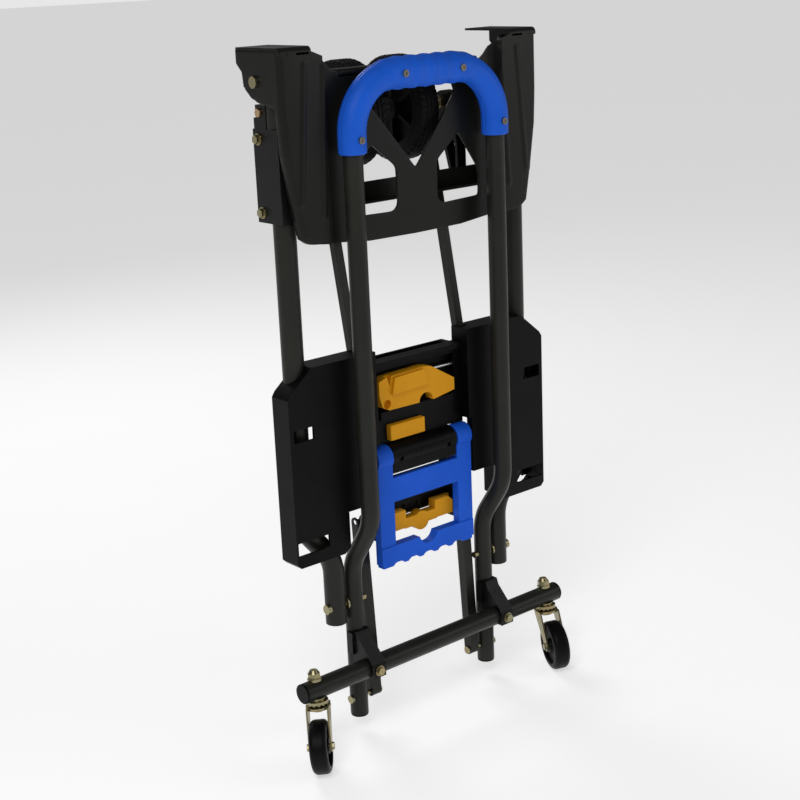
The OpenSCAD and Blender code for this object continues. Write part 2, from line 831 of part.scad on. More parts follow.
module tail_pins() placed() {
    color([0.72, 0.66, 0.45]) both() {
        rod_x(strap_in - 1.8, leg + handle_tube / 2 + 0.6, tail_y, tail_pin_z, 6);
        rod_x(strap_in - 1.8, strap_in - 0.3, tail_y, tail_pin_z, 10);
        difference() {
            rod_x(leg + handle_tube / 2 - 2, leg + handle_tube / 2 + 2.6, tail_y, tail_pin_z, 10);
            translate([leg, tail_y, tail_pin_z - 10]) cylinder(d = handle_tube, h = 20);
        }
    }
}

strap_run = [lock_y - tail_y, lock_z - tail_pin_z];
strap_len = sqrt(strap_run[0] * strap_run[0] + strap_run[1] * strap_run[1]);
strap_tilt = atan2(strap_run[0], strap_run[1]);

// channel-section link between the tail of the handle and the lock bar
module strap() {
    color([0.2, 0.2, 0.18]) translate([0, tail_y, tail_pin_z]) rotate([-strap_tilt, 0, 0])
        difference() {
            union() {
                box([strap_in + 0.2, -6, 0], [strap_out - 0.2, 6, strap_len]);
                rod_x(strap_in + 0.2, strap_out - 0.2, 0, 0, 12);
                rod_x(strap_in + 0.2, strap_out - 0.2, 0, strap_len, 12);
            }
            box([strap_in + 2.2, -3.8, -20], [strap_out - 2.2, 10, strap_len + 20]);
            rod_x(strap_in - 1, strap_out + 1, 0, 0, 6 + 2 * fit);
            rod_x(strap_in - 1, strap_out + 1, 0, strap_len, 6.5);
        }
}

module strap_right() placed() {
    strap();
}

module strap_left() placed() {
    mirror([1, 0, 0]) strap();
}

// ---------- crossbar and casters ----------

// frame that leans with the swivel axis, its origin on the bar axis
module leaned(x) {
    translate([x, bar_y, bar_height]) rotate([-caster_lean, 0, 0]) children();
}

module crossbar() placed() {
    color([0.17, 0.17, 0.15]) difference() {
        rod_x(-bar_length / 2 + 3, bar_length / 2 - 3, bar_y, bar_height, bar_tube);
        rod_x(-bar_length / 2, bar_length / 2, bar_y, bar_height, bar_tube - 2 * tube_wall);
        for (x = [-stem_x, stem_x])
            leaned(x) translate([0, 0, -20]) cylinder(d = 10, h = 40);
        both() rod_y(leg, bar_y - 20, bar_y, bar_height, 6);
    }
}

module crossbar_caps() placed() {
    color([0.05, 0.05, 0.05]) both() {
        rod_x(bar_length / 2 - 3, bar_length / 2, bar_y, bar_height, bar_tube);
        rod_x(bar_length / 2 - 12, bar_length / 2 - 2.9, bar_y, bar_height, bar_tube - 2 * tube_wall);
    }
}

// black saddle that holds the bar in front of the handle leg
module caster_arm() {
    tf = tail_y - handle_tube / 2;
    bf = bar_y - bar_tube / 2;
    color([0.06, 0.06, 0.06]) difference() {
        union() {
            plate_yz(leg - 10, leg + 10) polygon([[tail_y, bar_height - 12], [tail_y, 136],
                [tf - 3, 136], [tf - 6, 128], [bf - 1, bar_height + 12], [bf - 4, bar_height + 6],
                [bf - 4, bar_height - 9], [bf + 3, bar_height - 9], [tf - 4, bar_height - 14]]);
            plate_yz(leg - 13.5, leg + 13.5) polygon([[tail_y, bar_height + 14], [tail_y, 134],
                [tf + 1, 134], [tf + 1, bar_height + 14]]);
        }
        translate([leg, tail_y, 40]) cylinder(d = handle_tube, h = 130);
        rod_x(leg - 30, leg + 30, bar_y, bar_height, bar_tube);
        rod_y(leg, bf - 10, bf + 5, bar_height, 6);
    }
}

module caster_arm_right() placed() {
    caster_arm();
}

module caster_arm_left() placed() {
    mirror([1, 0, 0]) caster_arm();
}

module arm_bolts() placed() {
    bf = bar_y - bar_tube / 2 - 4;
    color([0.78, 0.68, 0.4]) both() {
        rod_y(leg, bf - 1, bar_y, bar_height, 6);
        rod_y(leg, bf - 1.5, bf, bar_height, 13);
        translate([leg, bf - 5, bar_height]) rotate([-90, 0, 0]) cylinder(d = 10.5, h = 3.6, $fn = 6);
    }
}

// domed flange nuts on top of the bar
module caster_nuts() placed() {
    color([0.8, 0.72, 0.5]) for (x = [-stem_x, stem_x]) leaned(x) difference() {
        union() {
            translate([0, 0, bar_tube / 2 - 1.2]) cylinder(d = 17, h = 3.2);
            translate([0, 0, bar_tube / 2 + 2]) cylinder(d = 16, h = 6, $fn = 6);
            translate([0, 0, bar_tube / 2 + 8]) cylinder(d1 = 14, d2 = 9, h = 4);
        }
        cylinder(d = 10, h = bar_tube / 2 + 6);
        rotate([caster_lean, 0, 0]) rod_x(-20, 20, 0, 0, bar_tube);
    }
}

// stem with the fixed upper race under the bar
module caster_stem(x) {
    color([0.8, 0.7, 0.42]) leaned(x) {
        translate([0, 0, -24]) cylinder(d = 10, h = bar_tube / 2 + 30);
        difference() {
            union() {
                translate([0, 0, -16]) cylinder(d = 26, h = 3);
                translate([0, 0, -13.1]) cylinder(d = 18, h = 3);
            }
            rotate([caster_lean, 0, 0]) rod_x(-20, 20, 0, 0, bar_tube);
        }
        for (a = [0 : 30 : 330])
            rotate([0, 0, a]) translate([10.5, 0, -17]) sphere(d = 4.4, $fn = 24);
        translate([0, 0, -26]) cylinder(d = 15, h = 2.5);
    }
}

module caster_stem_left() placed() {
    caster_stem(-stem_x);
}

module caster_stem_right() placed() {
    caster_stem(stem_x);
}

// fork in its own frame: +X points along the trail
module fork_shape() {
    in = caster_tread / 2 + 1;
    out = in + 2;
    difference() {
        union() {
            difference() {
                translate([0, 0, -22.5]) cylinder(d = 30, h = 3);
                cylinder(d = 12, h = 80, center = true);
            }
            for (s = [-1, 1])
                translate([0, s > 0 ? out : -in, 0]) rotate([90, 0, 0]) linear_extrude(2)
                    polygon([[-12, -19.5], [13, -19.5], [caster_trail + 6.5, -stem_drop + 4],
                        [caster_trail + 4, -stem_drop - 6], [caster_trail - 4, -stem_drop - 6],
                        [caster_trail - 8, -stem_drop + 5]]);
        }
        translate([caster_trail, 0, -stem_drop]) rotate([90, 0, 0]) cylinder(d = 6, h = 60, center = true);
    }
}

module caster_turned(x, turn) {
    leaned(x) rotate([0, 0, turn]) children();
}

module caster_fork_left() placed() {
    color([0.8, 0.7, 0.42]) caster_turned(-stem_x, caster_turn_left) fork_shape();
}

module caster_fork_right() placed() {
    color([0.8, 0.7, 0.42]) caster_turned(stem_x, caster_turn_right) fork_shape();
}

module small_axle() {
    out = caster_tread / 2 + 3;
    translate([caster_trail, 0, -stem_drop]) rotate([90, 0, 0]) {
        cylinder(d = 6, h = 2 * out, center = true);
        for (s = [-1, 1])
            translate([0, 0, s * (out + 1.35)]) cylinder(d = 9, h = 2.7, center = true, $fn = 6);
    }
}

module caster_axle_left() placed() {
    color([0.8, 0.72, 0.5]) caster_turned(-stem_x, caster_turn_left) small_axle();
}

module caster_axle_right() placed() {
    color([0.8, 0.72, 0.5]) caster_turned(stem_x, caster_turn_right) small_axle();
}

module small_wheel() {
    t = caster_tread / 2;
    translate([caster_trail, 0, -stem_drop]) rotate([90, 0, 0]) rotate_extrude() difference() {
        polygon([[3 + fit, -t + 0.5], [8, -t + 0.5], [9, -t + 4], [wheel_r - 8, -t + 4],
            [wheel_r - 7, -t], [wheel_r - 3, -t], [wheel_r, -t + 4], [wheel_r, t - 4],
            [wheel_r - 3, t], [wheel_r - 7, t], [wheel_r - 8, t - 4], [9, t - 4],
            [8, t - 0.5], [3 + fit, t - 0.5]]);
    }
}

module caster_wheel_left() placed() {
    color([0.06, 0.06, 0.06]) caster_turned(-stem_x, caster_turn_left) small_wheel();
}

module caster_wheel_right() placed() {
    color([0.06, 0.06, 0.06]) caster_turned(stem_x, caster_turn_right) small_wheel();
}

frame_tube_left();
frame_tube_right();
frame_plugs();
side_bracket_left();
side_bracket_right();
side_bracket_bolts();
lug_bolts();
toe_pivot_bolts();
cross_plate();
axle_lug_left();
axle_lug_right();
axle();
axle_nuts();
brace_left();
brace_right();
brace_bolts();
casing();
casing_bolts();
lever_barrel();
lever_pin();
lock_bar();
upper_latch();
lower_latch();
latch_pins();
latch_button();
release_lever();
toe_plate();
tyre_left();
tyre_right();
hub_left();
hub_right();
pivot_pins();
pivot_washers();
handle();
grip_front();
grip_back();
grip_screws();
tail_plugs();
tail_pins();
strap_left();
strap_right();
crossbar();
crossbar_caps();
caster_arm_left();
caster_arm_right();
arm_bolts();
caster_nuts();
caster_stem_left();
caster_stem_right();
caster_fork_left();
caster_fork_right();
caster_axle_left();
caster_axle_right();
caster_wheel_left();
caster_wheel_right();
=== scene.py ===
"""Looks of a folding platform cart, folded upright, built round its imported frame. Metres, +Z up."""

import json

import bmesh
import bpy
import numpy as np
from mathutils import Matrix, Vector


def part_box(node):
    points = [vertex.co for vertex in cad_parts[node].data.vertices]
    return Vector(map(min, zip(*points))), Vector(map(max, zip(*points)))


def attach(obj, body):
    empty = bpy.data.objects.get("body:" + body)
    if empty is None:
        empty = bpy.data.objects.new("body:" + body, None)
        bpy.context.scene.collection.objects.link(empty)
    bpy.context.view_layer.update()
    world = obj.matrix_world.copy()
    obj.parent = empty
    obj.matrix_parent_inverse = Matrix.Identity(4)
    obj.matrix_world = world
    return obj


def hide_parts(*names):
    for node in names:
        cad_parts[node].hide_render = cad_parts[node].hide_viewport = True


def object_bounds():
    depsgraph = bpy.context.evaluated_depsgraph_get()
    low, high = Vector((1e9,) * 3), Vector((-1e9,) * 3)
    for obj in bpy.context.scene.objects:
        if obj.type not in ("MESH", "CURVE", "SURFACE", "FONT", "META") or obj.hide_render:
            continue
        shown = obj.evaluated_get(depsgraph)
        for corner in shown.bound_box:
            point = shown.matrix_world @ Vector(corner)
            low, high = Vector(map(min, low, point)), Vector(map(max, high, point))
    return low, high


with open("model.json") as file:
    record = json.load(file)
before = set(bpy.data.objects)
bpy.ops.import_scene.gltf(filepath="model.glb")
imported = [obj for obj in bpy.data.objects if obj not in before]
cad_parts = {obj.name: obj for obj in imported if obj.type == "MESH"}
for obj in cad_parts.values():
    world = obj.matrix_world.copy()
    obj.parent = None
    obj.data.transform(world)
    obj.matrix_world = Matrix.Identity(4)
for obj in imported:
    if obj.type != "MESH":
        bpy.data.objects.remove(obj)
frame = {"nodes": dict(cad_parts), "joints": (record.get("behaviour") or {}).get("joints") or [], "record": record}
cad_low, cad_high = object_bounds()
nodes = frame["nodes"]
MM = 0.001
TAU = 2 * np.pi
EDGE_ANGLE = 28  # degrees; sharper folds than this are rounded
tube_low, tube_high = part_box("frame_tube_right")
MID_X = (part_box("frame_tube_left")[0].x + tube_high.x) / 2
MID_Y = (tube_low.y + tube_high.y) / 2
MIDDLE = np.array((MID_X, MID_Y, 0.0))  # under the side tubes, midway between them
CART_MIDDLE = 0.42  # height that the lights look at

# ---------- camera, floor and light ----------


def make_camera():
    """Camera at three quarters from the front left, a little above the casing."""
    data = bpy.data.cameras.new("camera")
    data.sensor_width, data.lens = 36, 68.68
    data.clip_start, data.clip_end = 0.05, 50
    cam = bpy.data.objects.new("camera", data)
    right = (0.75980, -0.64885, -0.04133)
    up = (0.21076, 0.18567, 0.95974)
    back = (-0.61505, -0.73792, 0.27782)
    turn = Matrix((right, up, back)).transposed().to_4x4()
    place = Vector((-1.1450, -1.3502, 0.9107)) + Vector(MIDDLE)
    cam.matrix_world = Matrix.Translation(place) @ turn
    bpy.context.scene.collection.objects.link(cam)
    bpy.context.scene.camera = cam


def make_light(name, place, size, power):
    """Square soft light at place, turned towards the middle of the cart."""
    data = bpy.data.lights.new(name, "AREA")
    data.size, data.energy = size, power
    light = bpy.data.objects.new(name, data)
    light.location = place
    way = Vector((0, 0, CART_MIDDLE)) - Vector(place)
    light.rotation_euler = way.to_track_quat("-Z", "Y").to_euler()
    bpy.context.scene.collection.objects.link(light)


make_camera()

# ---------- shader helpers ----------


class Wire:
    """A shader socket whose arithmetic adds Math nodes."""

    def __init__(self, finish, socket):
        self.finish, self.socket = finish, socket

    def _two(self, kind, a, b):
        return self.finish.add("ShaderNodeMath", {"operation": kind}, {0: a, 1: b})

    def __add__(self, other):
        return self._two("ADD", self, other)

    def __radd__(self, other):
        return self._two("ADD", other, self)

    def __sub__(self, other):
        return self._two("SUBTRACT", self, other)

    def __rsub__(self, other):
        return self._two("SUBTRACT", other, self)

    def __mul__(self, other):
        return self._two("MULTIPLY", self, other)

    def __rmul__(self, other):
        return self._two("MULTIPLY", other, self)

    def between(self, low, high):
        """0 below low, 1 above high, smooth in the middle."""
        sets = {"interpolation_type": "SMOOTHSTEP", "clamp": True}
        values = {"Value": self, "From Min": low, "From Max": high}
        return self.finish.add("ShaderNodeMapRange", sets, values)


class Finish:
    """One material: a Principled shader and the nodes that feed it."""

    def __init__(self, name, roughness, metal=0.0, coat=0.0, specular=0.5):
        self.material = bpy.data.materials.new(name)
        self.material.use_nodes = True
        self.tree = self.material.node_tree
        self.shader = self.tree.nodes["Principled BSDF"]
        self.shader.inputs["Roughness"].default_value = roughness
        self.shader.inputs["Metallic"].default_value = metal
        self.shader.inputs["Coat Weight"].default_value = coat
        self.shader.inputs["Specular IOR Level"].default_value = specular
        self.place = self.add("ShaderNodeTexCoord", {}, {}, "Object")

    def add(self, kind, settings, values, out=0):
        """Adds a node, sets it up first, then gives its sockets their values or wires."""
        node = self.tree.nodes.new(kind)
        for key, value in settings.items():
            if key == "stops":
                ramp = node.color_ramp
                while len(ramp.elements) < len(value):
                    ramp.elements.new(0.5)
                for element, (at, colour) in zip(ramp.elements, value):
                    element.position, element.color = at, (*colour, 1)
            else:
                setattr(node, key, value)
        for key, value in values.items():
            if isinstance(value, Wire):
                self.tree.links.new(value.socket, node.inputs[key])
            else:
                node.inputs[key].default_value = value
        return Wire(self, node.outputs[out])

    def noise(self, scale, detail=3.0, rough=0.55, stretch=None):
        """Soft noise from 0 to 1, scale in cycles a metre."""
        at = self.place
        if stretch:
            at = self.add("ShaderNodeMapping", {}, {"Vector": at, "Scale": stretch})
        values = {"Vector": at, "Scale": scale, "Detail": detail, "Roughness": rough}
        return self.add("ShaderNodeTexNoise", {}, values)

    def cells(self, scale):
        """Distance to the nearest cell point."""
        return self.add("ShaderNodeTexVoronoi", {}, {"Vector": self.place, "Scale": scale})

    def edges(self, radius):
        """1 on edges that a rounding of this radius would reach, 0 on flats."""
        rounded = self.add("ShaderNodeBevel", {"samples": 6}, {"Radius": radius})
        true = self.add("ShaderNodeNewGeometry", {}, {}, "Normal")
        dot = {"operation": "DOT_PRODUCT"}
        same = self.add("ShaderNodeVectorMath", dot, {0: rounded, 1: true}, "Value")
        return (1.0 - same).between(0.03, 0.22)

    def mixed(self, amount, first, second):
        """Colour that goes from first to second with amount."""
        values = {0: amount, 6: first if isinstance(first, Wire) else (*first, 1)}
        values[7] = second if isinstance(second, Wire) else (*second, 1)
        return self.add("ShaderNodeMix", {"data_type": "RGBA"}, values, 2)

    def feed(self, **wires):
        """Wires into the Principled shader, by socket name with _ for a space."""
        for key, wire in wires.items():
            self.tree.links.new(wire.socket, self.shader.inputs[key.replace("_", " ")])

    def relief(self, height, depth):
        """Bump of this depth in metres."""
        values = {"Height": height, "Distance": depth, "Strength": 1.0}
        self.feed(Normal=self.add("ShaderNodeBump", {}, values))


def powder_paint(name, colour, gloss=0.36):
    """Baked paint on steel: orange peel, faint clouding, dust, scuffs and thin wear on the edges."""
    f = Finish(name, gloss, coat=0.01, specular=0.18)
    cloud, dust = f.noise(14, 4), f.noise(55, 6, 0.7)
    peel, speck = f.noise(900, 2, 0.5), f.noise(2600, 2, 0.6)
    scuff = f.noise(38, 5, 0.75, (1.0, 1.0, 0.12)).between(0.63, 0.72)
    wear = f.edges(0.0011) * f.noise(120, 4, 0.7).between(0.44, 0.62)
    light = tuple(min(1, c * 1.35 + 0.001) for c in colour)
    dusty = tuple(c * 1.2 + 0.005 for c in colour)
    base = f.mixed(cloud.between(0.3, 0.75), colour, light)
    base = f.mixed(dust.between(0.52, 0.8) * 0.35, base, dusty)
    base = f.mixed(scuff * 0.22, base, dusty)
    base = f.mixed(wear * 0.55, base, (0.13, 0.125, 0.115))
    rough = gloss + cloud * 0.10 + dust.between(0.45, 0.8) * 0.12 - wear * 0.06 + scuff * 0.1 - 0.05
    f.feed(Base_Color=base, Roughness=rough, Metallic=wear * 0.5)
    f.relief(peel * 0.8 + speck * 0.2, 0.00007)
    return f.material


def moulded_plastic(name, colour, gloss, grain=0.00005, grain_size=1500, lift=1.5):
    """Moulded plastic: fine spark-eroded grain, flow clouding, rubbed edges and hairline scratches."""
    f = Finish(name, gloss, specular=0.10)
    cloud, fleck = f.noise(22, 3), f.noise(180, 5, 0.7)
    grit = f.cells(grain_size)
    hair = f.noise(160, 3, 0.6, (1.0, 1.0, 0.05)).between(0.66, 0.71)
    rubbed = f.edges(0.0013) * f.noise(90, 3, 0.6).between(0.36, 0.6)
    light = tuple(min(1, c * lift + 0.0015) for c in colour)
    pale = tuple(min(1, c * 1.4 + 0.008) for c in colour)
    base = f.mixed(cloud.between(0.3, 0.75), colour, light)
    base = f.mixed(fleck.between(0.55, 0.8) * 0.18, base, light)
    base = f.mixed(rubbed * 0.4, base, pale)
    base = f.mixed(hair * 0.16, base, pale)
    f.feed(Base_Color=base, Roughness=gloss + fleck * 0.12 - rubbed * 0.10 + hair * 0.08 - 0.05)
    f.relief(grit * 0.7 + f.noise(600, 2) * 0.3, grain)
    return f.material


def plated_steel(name, colour, tint, gloss=0.27):
    """Passivated plating: warm and greenish clouds, fine turning marks, duller and darker in patches."""
    f = Finish(name, gloss, metal=1.0)
    cloud, patch, fine = f.noise(45, 4, 0.6), f.noise(130, 5, 0.65), f.noise(1400, 3, 0.6)
    lines = f.noise(900, 2, 0.5, (0.08, 1.0, 1.0))
    wear = f.edges(0.0007)
    base = f.mixed(cloud.between(0.35, 0.68), colour, tint)
    base = f.mixed(patch.between(0.5, 0.75) * 0.4, base, tuple(c * 0.62 for c in colour))
    base = f.mixed(wear * 0.5, base, tuple(c * 1.3 for c in colour))
    f.feed(Base_Color=base, Roughness=gloss + patch * 0.16 + fine * 0.06 - wear * 0.08 - 0.04)
    f.relief(lines * 0.5 + fine * 0.5, 0.00003)
    return f.material


def wheel_rubber(name, colour, gloss=0.62, dust_at=0.5):
    """Rubber: matt skin with moulding haze, ground-in dust and fine pitting."""
    f = Finish(name, gloss, specular=0.12)
    cloud, pit, dust = f.noise(30, 4), f.cells(1100), f.noise(75, 6, 0.72)
    scrape = f.edges(0.0015) * f.noise(140, 4).between(0.4, 0.62)
    base = f.mixed(cloud.between(0.3, 0.75), colour, tuple(c * 1.5 + 0.001 for c in colour))
    base = f.mixed(dust.between(dust_at, 0.8) * 0.4, base, (0.022, 0.020, 0.017))
    base = f.mixed(scrape * 0.4, base, (0.024, 0.023, 0.021))
    f.feed(Base_Color=base, Roughness=gloss + dust * 0.2 - scrape * 0.1 - 0.08)
    f.relief(pit * 0.5 + f.noise(700, 3) * 0.5, 0.00006)
    return f.material


TUBE_GREY = (0.0150, 0.0150, 0.0122)
finishes = {
    "tube_paint": powder_paint("tube_paint", TUBE_GREY, 0.34),
    "plate_paint": powder_paint("plate_paint", (0.0060, 0.0060, 0.0050), 0.38),
    "casing_plastic": moulded_plastic("casing_plastic", (0.0012, 0.0012, 0.0012), 0.42),
    "grip_plastic": moulded_plastic("grip_plastic", (0.012, 0.105, 0.62), 0.40, 0.00004, 1800, 1.12),
    "lever_plastic": moulded_plastic("lever_plastic", (0.010, 0.100, 0.64), 0.40, 0.00004, 1800, 1.12),
    "latch_plastic": moulded_plastic("latch_plastic", (0.70, 0.31, 0.008), 0.38, 0.00004, 1700, 1.08),
    "zinc": plated_steel("zinc", (0.36, 0.29, 0.15), (0.31, 0.31, 0.20)),
    "copper_zinc": plated_steel("copper_zinc", (0.62, 0.36, 0.20), (0.55, 0.44, 0.26)),
    "steel": plated_steel("steel", (0.56, 0.56, 0.57), (0.50, 0.50, 0.49), 0.24),
    "tyre_rubber": wheel_rubber("tyre_rubber", (0.004, 0.004, 0.004)),
    "hub_plastic": moulded_plastic("hub_plastic", (0.003, 0.003, 0.003), 0.45),
    "caster_tyre": wheel_rubber("caster_tyre", (0.0022, 0.0022, 0.0022), 0.42, 0.6),
    "dark_screw": plated_steel("dark_screw", (0.16, 0.14, 0.11), (0.20, 0.19, 0.15), 0.34),
    "black_paint": powder_paint("black_paint", (0.003, 0.003, 0.003), 0.36),
}
BLACK_PARTS = ("side_bracket", "axle_lug", "caster_arm")
BLACK_STEEL = [part + side for part in BLACK_PARTS for side in ("_left", "_right")]
OTHER = {node: "black_paint" for node in BLACK_STEEL} | {"grip_screws": "dark_screw"}
slot_of = {row["node"]: row["material_slot"] for row in frame["record"]["subparts"]}


def finish_of(node):
    """The material of a node: its slot's, or black paint on the small brackets."""
    return finishes[OTHER.get(node, slot_of[node])]


def body_of(node):
    """Name of the body a node rides on."""
    bodies = frame["record"]["behaviour"]["bodies"]
    return next(body for body, members in bodies.items() if node in members)


# ---------- surfaces ----------


def new_piece(name, verts, faces, *stands_for):
    """Puts arrays into a mesh and gives it the body and finish of the node it stands for."""
    mesh = bpy.data.meshes.new(name)
    mesh.from_pydata(np.asarray(verts).reshape(-1, 3).tolist(), [], faces)
    mesh.validate()
    piece = bpy.data.objects.new(name, mesh)
    bpy.context.scene.collection.objects.link(piece)
    shape = bmesh.new()
    shape.from_mesh(mesh)
    bmesh.ops.remove_doubles(shape, verts=shape.verts, dist=1e-6)
    bmesh.ops.recalc_face_normals(shape, faces=shape.faces)
    shape.to_mesh(mesh)
    shape.free()
    return dress(piece, *stands_for)


def dress(piece, *stands_for, sharp=38):
    """Material, smooth shading up to an angle, and body."""
    node = stands_for[0]
    piece.data.materials.clear()
    piece.data.materials.append(finish_of(node))
    piece.data.shade_smooth()
    piece.data.set_sharp_from_angle(angle=np.radians(sharp))
    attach(piece, body_of(node))
    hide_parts(*stands_for)
    return piece


def quads(rows, cols, loop_rows, loop_cols):
    """Quad indices of a grid, each direction closed or open."""
    i, j = np.meshgrid(np.arange(rows - (not loop_rows)), np.arange(cols - (not loop_cols)), indexing="ij")
    i2, j2 = (i + 1) % rows, (j + 1) % cols
    around = np.stack([i * cols + j, i2 * cols + j, i2 * cols + j2, i * cols + j2], -1)
    return around.reshape(-1, 4).tolist()


def rounded_path(corners, radii, step=0.004):
    """Polyline with a circular arc in each inner corner, as points in even small steps on the arcs."""
    corners = np.asarray(corners, float)
    out = [corners[0]]
    for before, at, after, r in zip(corners, corners[1:], corners[2:], radii):
        a, b = (before - at) / np.linalg.norm(before - at), (after - at) / np.linalg.norm(after - at)
        half = np.arccos(np.clip(a @ b, -1, 1)) / 2
        middle = at + (a + b) / np.linalg.norm(a + b) * r / np.sin(half)
        start, swing = at + a * r / np.tan(half), np.pi - 2 * half
        u = (start - middle) / r
        v = np.cross(np.cross(a, b), u)
        v = v / np.linalg.norm(v) * (1 if v @ -a > 0 else -1)
        t = np.linspace(0, swing, max(6, int(r * swing / step)))[:, None]
        out.extend(middle + r * (np.cos(t) * u + np.sin(t) * v))
    out.append(corners[-1])
    return np.array(out)


def frames_on(path):
    """Tangent, and two normals built from the tangent so that plane bends carry no twist."""
    t = np.gradient(path, axis=0)
    t /= np.linalg.norm(t, axis=1)[:, None]
    n = np.stack([t[:, 2], 0 * t[:, 0], -t[:, 0]], 1)
    n /= np.linalg.norm(n, axis=1)[:, None]
    return t, n, np.cross(t, n)


def denser(path, step):
    """The same path with points no further apart than step, all kept corners included."""
    length = np.r_[0, np.cumsum(np.linalg.norm(np.diff(path, axis=0), axis=1))]
    more = np.arange(0, length[-1], step)
    at = np.unique(np.r_[length, more].round(7))
    return np.stack([np.interp(at, length, path[:, k]) for k in range(3)], 1), at


def bent_tube(name, path, outer, wall, *stands_for, around=40):
    """Hollow tube: outer skin along the path, rolled rims, and the inner skin back again."""
    path, _ = denser(path, 0.03)
    t, n, b = frames_on(path)
    rim = 0.0003
    rows = np.r_[0, np.arange(len(path)), len(path) - 1, len(path) - 1, np.arange(len(path))[::-1], 0]
    radius = np.r_[outer - rim, np.full(len(path), outer), outer - rim,
                   outer - wall + rim, np.full(len(path), outer - wall), outer - wall + rim]
    shift = np.zeros(len(rows))
    shift[1], shift[len(path)] = rim, -rim
    shift[len(path) + 3], shift[-2] = -rim, rim
    a = np.linspace(0, TAU, around, endpoint=False)
    ring = np.cos(a)[None, :, None] * n[rows][:, None] + np.sin(a)[None, :, None] * b[rows][:, None]
    along = path[rows] + shift[:, None] * t[rows]
    verts = MIDDLE + along[:, None] + radius[:, None, None] * ring
    return new_piece(name, verts, quads(len(rows), around, True, True), *stands_for)


def turned(name, profile, centre, axis, *stands_for, around=96, ripple=None):
    """Closed profile of (radius, along) turned about an axis.

    ripple(angle, radius, along) is added to the radius.
    """
    profile = np.asarray(profile, float) * MM
    axis = np.array(axis, float) / np.linalg.norm(axis)
    side = np.cross(axis, (0, 1, 0.3))
    side /= np.linalg.norm(side)
    other = np.cross(axis, side)
    a = np.linspace(0, TAU, around, endpoint=False)[:, None]
    r, h = profile[None, :, 0], profile[None, :, 1]
    r = r + (ripple(a, r / MM, h / MM) * MM if ripple else 0 * a)
    ring = np.cos(a)[..., None] * side + np.sin(a)[..., None] * other
    verts = np.array(centre) + r[..., None] * ring + (h + 0 * a)[..., None] * axis
    return new_piece(name, verts, quads(around, profile.shape[0], True, True), *stands_for)


def eased(node, width):
    """Merged copy of a node with its edges rounded by width, in millimetres."""
    mesh = nodes[node].data.copy()
    shape = bmesh.new()
    shape.from_mesh(mesh)
    bmesh.ops.remove_doubles(shape, verts=shape.verts, dist=2e-6)
    bmesh.ops.dissolve_limit(shape, angle_limit=0.01, verts=shape.verts, edges=shape.edges)
    shape.to_mesh(mesh)
    shape.free()
    piece = bpy.data.objects.new(node + "_eased", mesh)
    bpy.context.scene.collection.objects.link(piece)
    if mesh.has_custom_normals:
        mesh.attributes.remove(mesh.attributes["custom_normal"])
    bevel = piece.modifiers.new("ease", "BEVEL")
    bevel.width, bevel.segments, bevel.limit_method = width * MM, 2, "ANGLE"
    bevel.angle_limit, bevel.use_clamp_overlap, bevel.harden_normals = np.radians(EDGE_ANGLE), True, True
    return dress(piece, node, sharp=EDGE_ANGLE)


# ---------- tubes ----------

TUBE_R = 0.0127
HALF = tube_high.x - TUBE_R - MID_X
FOOT_X = tube_low.x + TUBE_R - MID_X
low_h, high_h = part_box("handle")
LEG_R = 0.0111
LEG = (high_h.x - low_h.x) / 2 - LEG_R
TAIL_Y, TAIL_Z = -0.002, low_h.z
FRONT_Y = low_h.y + LEG_R - MID_Y
TOP_Z = high_h.z - LEG_R
CORNER_R = 0.062
WALL = 0.0016
FOOT_BEND = (0.27887, 0.23120)  # heights where the side tube's straight runs would meet
FOOT_BEND_R = 0.05
LEG_BEND = (0.27690, 0.21892)  # the same for the handle's offset
LEG_BEND_R = 0.06


def frame_tube_path(side):
    """Straight down, shifted inwards by a double bend over the pivot."""
    upper, lower = FOOT_BEND
    points = [(side * HALF, 0, tube_high.z), (side * HALF, 0, upper),
              (side * FOOT_X, 0, lower), (side * FOOT_X, 0, tube_low.z)]
    return rounded_path(points, [FOOT_BEND_R, FOOT_BEND_R])


right_leg = [(LEG, TAIL_Y, TAIL_Z), (LEG, TAIL_Y, LEG_BEND[1]), (LEG, FRONT_Y, LEG_BEND[0]),
             (LEG, FRONT_Y, TOP_Z)]
left_leg = [(-x, y, z) for x, y, z in right_leg[::-1]]
leg_bends = [LEG_BEND_R, LEG_BEND_R, CORNER_R]
handle_path = rounded_path(right_leg + left_leg, leg_bends + leg_bends[::-1], 0.003)
bent_tube("side_tube_right", frame_tube_path(1), TUBE_R, WALL, "frame_tube_right")
bent_tube("side_tube_left", frame_tube_path(-1), TUBE_R, WALL, "frame_tube_left")
bent_tube("handle_tube", handle_path, LEG_R, WALL, "handle")


# ---------- padded grip ----------

GRIP_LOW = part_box("grip_front")[0].z
MOUTH_R, MOUTH_SWELL = 0.0137, 0.0023  # radius at the mouths, and what it gains past them
MOUTH_LONG = 0.003
SWELL_HALF, SWELL_EDGE = 0.058, 0.0035  # half length of the thick top, and how softly it starts
SWELL, WAVE, WAVE_LONG = 0.0013, 0.0011, 0.020
grip_path, grip_at = denser(rounded_path(
    [(LEG, FRONT_Y, GRIP_LOW), (LEG, FRONT_Y, TOP_Z), (-LEG, FRONT_Y, TOP_Z), (-LEG, FRONT_Y, GRIP_LOW)],
    [CORNER_R, CORNER_R], 0.0015), 0.0011)


